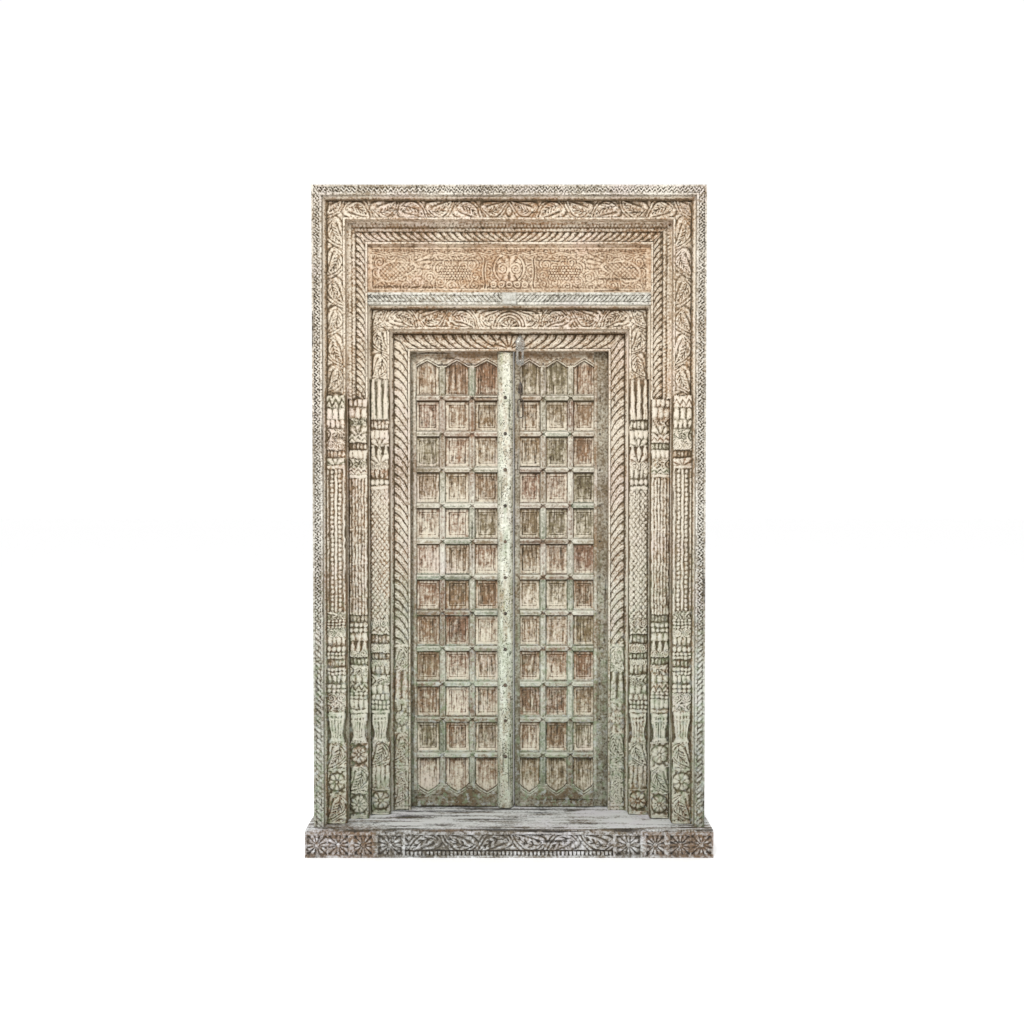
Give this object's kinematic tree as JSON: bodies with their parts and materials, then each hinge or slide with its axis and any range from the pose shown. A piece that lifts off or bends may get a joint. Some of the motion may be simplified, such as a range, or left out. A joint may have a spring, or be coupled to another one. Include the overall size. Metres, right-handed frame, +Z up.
{
  "type": "carved temple door",
  "caption": "Two-leaf carved timber door with lattice leaves on turned pivots, in a splayed surround of nested carved bands with a sill, a transom and an iron hasp and chain.",
  "frame": {"origin": "on the floor, under the middle of the sill", "axes": "+Z up, the carved front faces -Y, +X to the right of someone who faces the door"},
  "size_m": [1.49, 0.364, 2.45],
  "materials": {
    "carved_timber": "weathered, limewashed",
    "sill_timber": "worn, grey",
    "transom_timber": "weathered",
    "lattice_timber": "limewashed, worn",
    "board_timber": "weathered, dark",
    "astragal_timber": "pale green wash",
    "plain_timber": "sawn, unpainted",
    "forged_iron": "forged, rusted"
  },
  "bodies": {
    "surround": {"sill": "sill_timber", "left_edge_jamb": "carved_timber", "right_edge_jamb": "carved_timber", "edge_head": "carved_timber", "left_outer_scroll_jamb": "carved_timber", "right_outer_scroll_jamb": "carved_timber", "outer_scroll_head": "carved_timber", "left_outer_rope_jamb": "carved_timber", "right_outer_rope_jamb": "carved_timber", "outer_rope_head": "carved_timber", "left_inner_scroll_jamb": "carved_timber", "right_inner_scroll_jamb": "carved_timber", "inner_scroll_head": "carved_timber", "left_inner_rope_jamb": "carved_timber", "right_inner_rope_jamb": "carved_timber", "inner_rope_head": "carved_timber", "transom_panel": "transom_timber", "transom_rope_rail": "carved_timber", "rail_key_block": "carved_timber", "pivot_beam": "plain_timber", "hasp_plate": "forged_iron", "hasp_pin": "forged_iron"},
    "left_leaf": {"left_hinge_stile": "lattice_timber", "left_meeting_stile": "lattice_timber", "left_board_1": "board_timber", "left_board_2": "board_timber", "left_board_3": "board_timber", "left_cross_rails": "lattice_timber", "left_top_rail": "lattice_timber", "left_bottom_rail": "lattice_timber", "left_muntins": "lattice_timber", "left_ledges": "plain_timber", "astragal": "astragal_timber", "astragal_nails": "forged_iron"},
    "right_leaf": {"right_hinge_stile": "lattice_timber", "right_meeting_stile": "lattice_timber", "right_board_1": "board_timber", "right_board_2": "board_timber", "right_board_3": "board_timber", "right_cross_rails": "lattice_timber", "right_top_rail": "lattice_timber", "right_bottom_rail": "lattice_timber", "right_muntins": "lattice_timber", "right_ledges": "plain_timber", "chain_staple": "forged_iron"},
    "hasp": {"hasp": "forged_iron"},
    "chain_link": {"chain_link": "forged_iron"},
    "chain_ring": {"chain_ring": "forged_iron"}
  },
  "joints": [
    {"name": "left_leaf_swing", "type": "hinge", "parent": "surround", "child": "left_leaf", "pos_m": [-0.378, 0.134, 1], "axis": [0, 0, 1], "range_deg": [0, 95]},
    {"name": "right_leaf_swing", "type": "hinge", "parent": "surround", "child": "right_leaf", "pos_m": [0.378, 0.134, 1], "axis": [0, 0, -1], "range_deg": [0, 95]},
    {"name": "hasp_swing", "type": "hinge", "parent": "surround", "child": "hasp", "pos_m": [0.041, 0.0547, 1.883], "axis": [-1, 0, 0], "range_deg": [-20, 100]},
    {"name": "link_swing", "type": "hinge", "parent": "right_leaf", "child": "chain_link", "pos_m": [0.043, 0.094, 1.7355], "axis": [-1, 0, 0], "range_deg": [0, 110]},
    {"name": "ring_swing", "type": "hinge", "parent": "chain_link", "child": "chain_ring", "pos_m": [0.043, 0.094, 1.6868], "axis": [0, -1, 0], "range_deg": [-5, 60]}
  ]
}
